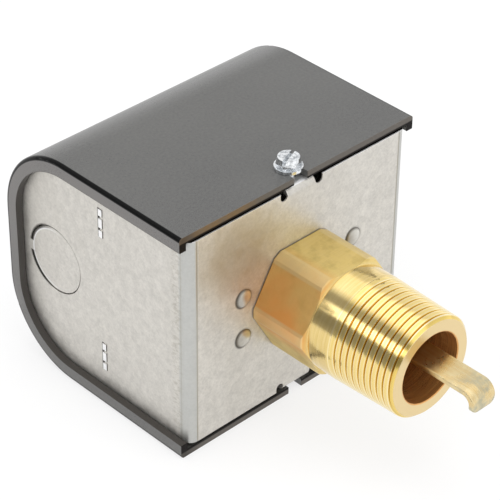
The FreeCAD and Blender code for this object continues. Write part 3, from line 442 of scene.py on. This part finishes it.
finishes = {
    "dark_paint": makeCoverPaint(coverPaint),
    "zinc_sheet": makeZincSheet(zincPlate),
    "bright_zinc": makeBrightZinc(screwZinc),
    "brass_body": makeTurnedBrass(turnedBrass, brassBody),
    "brass_strip": makeStripBrass(stripBrass),
    "terminal_brass": makeDrawnMetal("stampedBrass", (0.60, 0.43, 0.18), (0.82, 0.66, 0.36), 0.24, (1.0, 1.0, 0.1)),
    "bronze_bellows": makeDrawnMetal("bellowsBronze", (0.50, 0.30, 0.16), (0.72, 0.50, 0.30), 0.24, (0.1, 1.0, 0.1)),
    "stainless": makeDrawnMetal("groundSteel", (0.47, 0.47, 0.48), (0.66, 0.66, 0.66), 0.20, (1.0, 0.1, 1.0)),
    "spring_steel": makeDrawnMetal("springSteel", (0.38, 0.38, 0.39), (0.60, 0.60, 0.60), 0.22, (1.0, 0.1, 1.0)),
    "black_moulding": makeMoulding("blackCaseMoulding", (0.012, 0.012, 0.012), (0.028, 0.027, 0.026), 0.42),
    "red_moulding": makeMoulding("redPlungerMoulding", (0.30, 0.03, 0.02), (0.42, 0.05, 0.03), 0.30),
    "fibre_sheet": makeMoulding("fibreInsulator", (0.16, 0.13, 0.09), (0.24, 0.20, 0.15), 0.70),
    "ground_green": makeMoulding("greenEarthScrew", (0.03, 0.17, 0.07), (0.06, 0.26, 0.11), 0.35),
}
rivetFinish = makeRivetZinc(rivetZinc)
print("finishes made:", len(finishes) + 1)


def gridFaces(rows, columns):
    # quads of a grid of points, row by row
    start = (np.arange(rows - 1)[:, None] * columns + np.arange(columns - 1)[None, :]).ravel()
    return np.stack([start, start + 1, start + columns + 1, start + columns], axis=1)


def closeEnds(grid):
    # a row on the middle of the first and last ring, so each end of a tube closes on one point
    first, last = (np.broadcast_to(ring[:-1].mean(axis=0), ring.shape) for ring in (grid[0], grid[-1]))
    return np.concatenate([first[None], grid, last[None]])


def makePiece(name, grid, slot, sharpAngle):
    # grid holds rows x columns x 3 in millimetres; doubles and collapsed rows are merged, so poles and seams close;
    # smooth but for edges above sharpAngle
    mesh = bpy.data.meshes.new(name)
    mesh.from_pydata((grid.reshape(-1, 3) * mm).tolist(), [], gridFaces(*grid.shape[:2]).tolist())
    work = bmesh.new()
    work.from_mesh(mesh)
    bmesh.ops.remove_doubles(work, verts=work.verts, dist=mergeWithin)
    bmesh.ops.dissolve_degenerate(work, edges=work.edges, dist=1e-7)
    bmesh.ops.recalc_face_normals(work, faces=work.faces)
    work.to_mesh(mesh)
    work.free()
    mesh.polygons.foreach_set("use_smooth", np.ones(len(mesh.polygons), bool))
    mesh.set_sharp_from_angle(angle=radians(sharpAngle))
    mesh.materials.append(finishes[slot])
    piece = bpy.data.objects.new(name, mesh)
    bpy.context.collection.objects.link(piece)
    return piece


def roundAngles(b):
    # angles round the axis, with a line on every border between a flat and a turned-down corner
    half = pi / 6 - np.arccos(b["acrossFlats"] / 2 / b["blankRadius"])
    corner = np.linspace(-half, half, b["cornerSteps"] + 1)[:-1]
    flat = np.linspace(half, pi / 3 - half, b["flatSteps"] + 1)[:-1]
    sixth = np.concatenate([corner, flat])
    return np.concatenate([sixth + k * pi / 3 for k in range(6)] + [[2 * pi - half]])


def threadRadius(b, y, angles):
    # taper crest, slightly crowned, less a narrow flat-bottomed groove at each turn, under the end chamfer's cone
    yEnd = -b["shankLength"] - b["threadLength"]
    yStart = -b["shankLength"]
    turns = (y - yEnd) / b["pitch"] + angles[None, :] / (2 * pi) - b["grooveAt"]
    away = np.abs((turns + 0.5) % 1.0 - 0.5)                    # pitches from the nearest groove's middle
    groove = np.clip((b["grooveHalf"] - away) / b["flank"], 0.0, 1.0)
    runOut = np.clip((yStart - y) / (b["runOutTurns"] * b["pitch"]), 0.0, 1.0)
    crest = b["shankRadius"] - (yStart - y) * b["taper"] / 2 - b["crown"] * (1 - 2 * away) ** 2 * runOut
    cone = b["shankRadius"] - (b["threadLength"] - b["endChamfer"]) * b["taper"] / 2 - b["endChamfer"] + (y - yEnd)
    return np.minimum(crest - b["grooveDepth"] * groove * runOut, cone)


def makeBrassBody(b):
    # rows of rings from the thread's end round the outside to the spigot and back through the bore;
    # the thread's rows fall by one pitch per turn, so each crest is one line of the mesh
    angles = roundAngles(b)
    even = np.ones_like(angles)
    fromFlat = np.abs((angles % (pi / 3)) - pi / 6)
    hexRadius = np.minimum(b["acrossFlats"] / 2 / np.cos(fromFlat), b["blankRadius"])
    slope = tan(radians(b["chamferAngle"]))
    edge = b["edge"]
    yEnd = -b["shankLength"] - b["threadLength"]
    phases = np.array([0.0, 0.04, 0.10, 0.16, 0.20, 0.34, 0.50, 0.66, 0.80, 0.84, 0.90, 0.96]) + b["grooveAt"]
    turns = int(b["threadLength"] / b["pitch"]) + 3
    steps = (np.arange(-1, turns)[:, None] + phases[None, :]).ravel()
    threadY = yEnd + b["pitch"] * (steps[:, None] + 1.0 - angles[None, :] / (2 * pi))
    threadY = np.clip(threadY, yEnd, -b["shankLength"])
    endRadius = threadRadius(b, yEnd * even[None, :], angles)[0]
    behind = [
        (-b["shankLength"] * even, b["shankRadius"] * even),
        ((b["shankRadius"] - b["faceRadius"]) * slope * even, b["shankRadius"] * even),
        ((hexRadius - b["faceRadius"]) * slope, hexRadius),
        ((b["hexLength"] - edge) * even, hexRadius),
        (b["hexLength"] * even, hexRadius - edge),
        (b["hexLength"] * even, b["spigotRadius"] * even),
        ((b["spigotEnd"] - edge) * even, b["spigotRadius"] * even),
        (b["spigotEnd"] * even, (b["spigotRadius"] - edge) * even),
        (b["spigotEnd"] * even, b["throatRadius"] * even),
        (b["boreEnd"] * even, b["throatRadius"] * even),
        (b["boreEnd"] * even, b["boreRadius"] * even),
        ((yEnd + edge) * even, b["boreRadius"] * even),
        (yEnd * even, (b["boreRadius"] + edge) * even),
        (yEnd * even, endRadius),
    ]
    y = np.vstack([yEnd * even[None, :], threadY, [row[0] for row in behind]])
    radius = np.vstack([endRadius[None, :], threadRadius(b, threadY, angles), [row[1] for row in behind]])
    grid = np.stack([radius * np.cos(angles), y, radius * np.sin(angles)], axis=2)
    piece = makePiece("brass_body", grid, "brass_body", sharpAngle=22.0)
    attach(piece, "base")
    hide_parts("fitting_body")


paddleArm = {
    "width": 9.2, "thickness": 1.7, "top": 3.95, "tip": -50.0, "rear": 13.8, "hookRadius": 4.1, "hookDrop": 2.05,
    "edgeRadius": 0.42, "cornerRadius": 1.8, "levelSteps": 27, "bendSteps": 16, "cornerSteps": 11, "edgeSteps": 5,
}

def makePaddleArm(a):
    # a rounded rectangle carried along a line in the YZ plane: level, quarter turn, straight down;
    # near its end the width narrows by a quarter circle, and a middle point closes each end
    middle = a["hookRadius"] - a["thickness"] / 2
    bendY = a["tip"] + a["hookRadius"]
    bendZ = a["top"] - a["hookRadius"]
    plain = a["hookDrop"] - a["cornerRadius"]
    level = np.linspace(a["rear"], bendY, a["levelSteps"] + 1)
    turn = np.linspace(0, pi / 2, a["bendSteps"] + 1)[1:]
    rounding = np.linspace(0, pi / 2, a["cornerSteps"] + 1)[1:]
    drop = np.concatenate([[plain * 0.5, plain], plain + a["cornerRadius"] * np.sin(rounding)])
    y = np.concatenate([level, bendY - middle * np.sin(turn), np.full(len(drop), bendY - middle)])
    z = np.concatenate([np.full(len(level), bendZ + middle), bendZ + middle * np.cos(turn), bendZ - drop])
    tilt = np.concatenate([np.zeros(len(level)), turn, np.full(len(drop), pi / 2)])
    into = np.clip(np.concatenate([np.zeros(len(level) + len(turn)), drop - plain]), 0, None)
    narrowing = a["cornerRadius"] - np.sqrt(np.clip(a["cornerRadius"] ** 2 - into ** 2, 0, None))
    e = a["edgeRadius"]
    quarter = np.linspace(0, pi / 2, a["edgeSteps"] + 1)
    arc = np.concatenate([quarter + k * pi / 2 for k in range(4)])
    signX = np.repeat([1.0, -1.0, -1.0, 1.0], len(quarter))
    signZ = np.repeat([1.0, 1.0, -1.0, -1.0], len(quarter))
    across = signX[None, :] * (a["width"] / 2 - e - narrowing[:, None]) + e * np.cos(arc)[None, :]
    up = np.broadcast_to(signZ * (a["thickness"] / 2 - e) + e * np.sin(arc), across.shape)
    gridY = y[:, None] - up * np.sin(tilt)[:, None]
    gridZ = z[:, None] + up * np.cos(tilt)[:, None]
    grid = np.stack([across, gridY, gridZ], axis=2)
    grid = np.concatenate([grid, grid[:, :1]], axis=1)
    piece = makePiece("hooked_arm", closeEnds(grid), "brass_strip", sharpAngle=40.0)
    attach(piece, "arm")
    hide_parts("paddle_arm")


bellowsTube = {
    "front": 30.5, "firstFold": 32.65, "lastFold": 43.85, "folds": 6,
    "lowRadius": 5.9, "highRadius": 8.0, "wall": 0.5, "foldSteps": 14, "roundSteps": 80,
}

def makeBellows(b):
    # outside radius swings between low and high once per fold; the inside is one wall less, and both ends close
    y = np.linspace(b["firstFold"], b["lastFold"], b["folds"] * b["foldSteps"] + 1)
    wave = (1 - np.cos(2 * pi * b["folds"] * (y - y[0]) / (y[-1] - y[0]))) / 2
    outside = b["lowRadius"] + (b["highRadius"] - b["lowRadius"]) * wave
    outside = np.concatenate([outside[:1], outside])
    y = np.concatenate([[b["front"]], y])
    y = np.concatenate([y, y[::-1], y[:1]])[:, None]
    radius = np.concatenate([outside, outside[::-1] - b["wall"], outside[:1]])[:, None]
    angles = np.linspace(0, 2 * pi, b["roundSteps"] + 1)[None, :]
    grid = np.stack([radius * np.cos(angles), y + 0 * angles, radius * np.sin(angles)], axis=2)
    piece = makePiece("flexing_bellows", grid, "bronze_bellows", sharpAngle=60.0)
    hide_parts("bellows")
    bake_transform(piece)


rangeCoil = {
    "at": 51.1, "bottom": 7.65, "top": 22.4, "radius": 3.2, "wire": 0.5, "turns": 6,      # at is y, wire is a radius
    "bendFrom": 17.0, "turnSteps": 48, "roundSteps": 16,
}

def makeRangeCoil(c):
    # round wire on a helix about a line along Z: out by the coil's radius, up by an equal rise per turn
    turn = np.linspace(0, 2 * pi * c["turns"], c["turns"] * c["turnSteps"] + 1)[:, None]
    rise = (c["top"] - c["bottom"]) / (2 * pi * c["turns"])
    lean = np.arctan2(rise, c["radius"])
    section = np.linspace(0, 2 * pi, c["roundSteps"] + 1)[None, :]
    outward = c["radius"] + c["wire"] * np.cos(section) + 0 * turn
    along = -np.sin(lean) * c["wire"] * np.sin(section)
    x = outward * np.cos(turn) - along * np.sin(turn)
    y = c["at"] + outward * np.sin(turn) + along * np.cos(turn)
    z = c["bottom"] + rise * turn + np.cos(lean) * c["wire"] * np.sin(section)
    grid = closeEnds(np.stack([x, y, z], axis=2))
    piece = makePiece("pressed_range_spring", grid, "spring_steel", sharpAngle=50.0)
    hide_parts("range_spring")
    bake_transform(piece)


print("brass body and paddle arm")
makeBrassBody(brassBody)
makePaddleArm(paddleArm)
print("bellows and range spring")
makeBellows(bellowsTube)
makeRangeCoil(rangeCoil)


def edgeSoftening(name, angle):
    # node group for the solids: merges their loose triangles and shades them smooth, but for edges above angle
    group = bpy.data.node_groups.new(name, "GeometryNodeTree")
    group.interface.new_socket("Geometry", in_out="INPUT", socket_type="NodeSocketGeometry")
    group.interface.new_socket("Geometry", in_out="OUTPUT", socket_type="NodeSocketGeometry")
    add, link = group.nodes.new, group.links.new
    start, end = add("NodeGroupInput"), add("NodeGroupOutput")
    merge = add("GeometryNodeMergeByDistance")
    smooth, sharp = add("GeometryNodeSetShadeSmooth"), add("GeometryNodeSetShadeSmooth")
    bend, above = add("GeometryNodeInputMeshEdgeAngle"), add("FunctionNodeCompare")
    merge.inputs["Distance"].default_value = mergeWithin
    sharp.domain = "EDGE"
    sharp.inputs["Shade Smooth"].default_value = False
    above.operation = "GREATER_THAN"
    above.inputs[1].default_value = radians(angle)
    link(start.outputs[0], merge.inputs["Geometry"])
    link(merge.outputs[0], smooth.inputs["Geometry"])
    link(smooth.outputs[0], sharp.inputs["Geometry"])
    link(bend.outputs["Unsigned Angle"], above.inputs[0])
    link(above.outputs[0], sharp.inputs["Selection"])
    link(sharp.outputs[0], end.inputs[0])
    return group


# width of the softened edge on each solid that has one
edgeWidths = {
    "cover": 0.28, "base_frame": 0.16, "cover_screw": 0.14, "switch_plate": 0.12, "mechanism_bracket": 0.15,
    "operating_lever": 0.15, "body_locknut": 0.3, "switch_case": 0.25,
}
edgeBevel = {"segments": 2, "sharperThan": 35.0}               # degrees

def dressSolid(name, node, finish, group):
    # the solid's own mesh with a finish and smooth shading, and a small bevel along the edges of the larger pieces
    node.data.materials.clear()
    node.data.materials.append(finish)
    node.modifiers.new("soften", "NODES").node_group = group
    if name in edgeWidths:
        bevel = node.modifiers.new("edges", "BEVEL")
        bevel.width = edgeWidths[name] * mm
        bevel.segments = edgeBevel["segments"]
        bevel.limit_method = "ANGLE"
        bevel.angle_limit = radians(edgeBevel["sharperThan"])
        bevel.harden_normals = True


print("sheet pieces, screws and switch")
softening = edgeSoftening("softenEdges", 30.0)
slotOf = {part["node"]: part["material_slot"] for part in frame["record"]["subparts"]}
for nodeName, solid in frame["nodes"].items():
    solidFinish = rivetFinish if nodeName == "frame_rivets" else finishes[slotOf[nodeName]]
    dressSolid(nodeName, solid, solidFinish, softening)


studio = {"floorZ": -38.4, "floorSize": 6.0, "floorColour": 0.86, "floorGlow": 0.72, "worldLight": 0.80}

def makeFloor(s):
    # one square, matt where the object shades it, and mixed with white by floorGlow where it is looked at
    size, z = s["floorSize"], s["floorZ"] * mm
    mesh = bpy.data.meshes.new("studio_floor")
    mesh.from_pydata([(-size, -size, z), (size, -size, z), (size, size, z), (-size, size, z)], [], [(0, 1, 2, 3)])
    f = newFinish("paleFloor")
    cameraRay, glossyRay, clearRay = f.rays()
    matt = f.add("ShaderNodeBsdfDiffuse", None, {"Color": (s["floorColour"],) * 3})
    glow = f.add("ShaderNodeEmission", None, {"Color": (1.0, 1.0, 1.0), "Strength": 1.0})
    share = cameraRay.atLeast(glossyRay).atLeast(clearRay) * s["floorGlow"]
    mesh.materials.append(f.close(f.add("ShaderNodeMixShader", None, {0: share, 1: matt, 2: glow})))
    floor = bpy.data.objects.new("studio_floor", mesh)
    bpy.context.collection.objects.link(floor)


# what polished metal sees round the room: degrees about the Y axis, from +X over the top, and brightness
roomPanels = {
    -180: 0.42, -160: 0.95, -130: 0.95, -95: 0.72, -60: 1.0, -15: 1.1, 4: 1.20, 16: 0.98, 30: 0.98, 50: 0.90,
    60: 1.45, 94: 1.45, 103: 1.00, 111: 0.42, 127: 0.42, 131: 2.2, 144: 2.2, 149: 0.30, 166: 0.28, 180: 0.42,
}

def makeWorld(s, panels):
    # soft panels of different brightness round the object, a little dimmer for matt surfaces than in reflections
    f = Finish(bpy.data.worlds.new("studio"))
    cameraRay, glossyRay, clearRay = f.rays()
    direction = f.add("ShaderNodeTexCoord", output="Generated")
    x, z = f.add("ShaderNodeSeparateXYZ", None, {"Vector": direction}, output=("X", "Z"))
    turn = z.math("ARCTAN2", x) / (2 * pi) + 0.5
    stops = [(angle / 360 + 0.5, value / 3) for angle, value in panels.items()]
    grey = f.add("ShaderNodeValToRGB", {"stops": stops}, {"Fac": turn})
    seen = f.add("ShaderNodeSeparateColor", None, {"Color": grey}) * 3.0
    strength = seen * (glossyRay * (1.0 - s["worldLight"]) + s["worldLight"])
    panelLight = f.add("ShaderNodeBackground", None, {"Color": (1, 1, 1), "Strength": strength})
    white = f.add("ShaderNodeBackground", None, {"Color": (1, 1, 1), "Strength": 1.0})
    bpy.context.scene.world = f.close(
        f.add("ShaderNodeMixShader", None, {0: cameraRay.atLeast(clearRay), 1: panelLight, 2: white}))


lampAim = (0, 0.03, 0)
softboxes = {
    "top": {"at": (-0.15, 0.10, 0.95), "size": 0.9, "watts": 4.2},
    "left": {"at": (-1.0, -0.35, 0.55), "size": 0.8, "watts": 4.4},
    "right": {"at": (0.75, -0.80, 0.55), "size": 0.7, "watts": 3.6},
}

def makeSoftbox(name, box):
    # a square lamp turned so that its -Z axis points at the middle of the object
    lamp = bpy.data.lights.new(name, "AREA")
    lamp.shape = "SQUARE"
    lamp.size = box["size"]
    lamp.energy = box["watts"]
    holder = bpy.data.objects.new(name, lamp)
    holder.location = box["at"]
    holder.rotation_euler = (Vector(lampAim) - Vector(box["at"])).to_track_quat("-Z", "Y").to_euler()
    holder.visible_glossy = False                               # polished parts see the room's panels instead
    bpy.context.collection.objects.link(holder)


view = {"azimuth": 44.35, "elevation": 35.79, "roll": 0.76, "at": (-364.0, -331.84, 377.68), "focal": 158.85}

def makeCamera(v):
    # columns of the turn are right, up and back; back points from the object to the camera
    az, el, roll = (radians(v[key]) for key in ("azimuth", "elevation", "roll"))
    back = np.array([-sin(az) * cos(el), -cos(az) * cos(el), sin(el)])
    right = np.cross([0, 0, 1], back)
    right = right / np.linalg.norm(right)
    up = np.cross(back, right)
    right, up = cos(roll) * right + sin(roll) * up, -sin(roll) * right + cos(roll) * up
    turn = Matrix(np.stack([right, up, back], axis=1).tolist()).to_4x4()
    data = bpy.data.cameras.new("camera")
    data.lens = v["focal"]
    data.sensor_width = 36.0
    data.clip_start = 0.01
    camera = bpy.data.objects.new("camera", data)
    camera.matrix_world = Matrix.Translation(Vector(v["at"]) * mm) @ turn
    bpy.context.collection.objects.link(camera)
    bpy.context.scene.camera = camera


print("studio")
makeFloor(studio)
makeWorld(studio, roomPanels)
for lampName, lampBox in softboxes.items():
    makeSoftbox("softbox_" + lampName, lampBox)
makeCamera(view)
bpy.context.scene.view_settings.view_transform = "Standard"

bpy.context.view_layer.update()
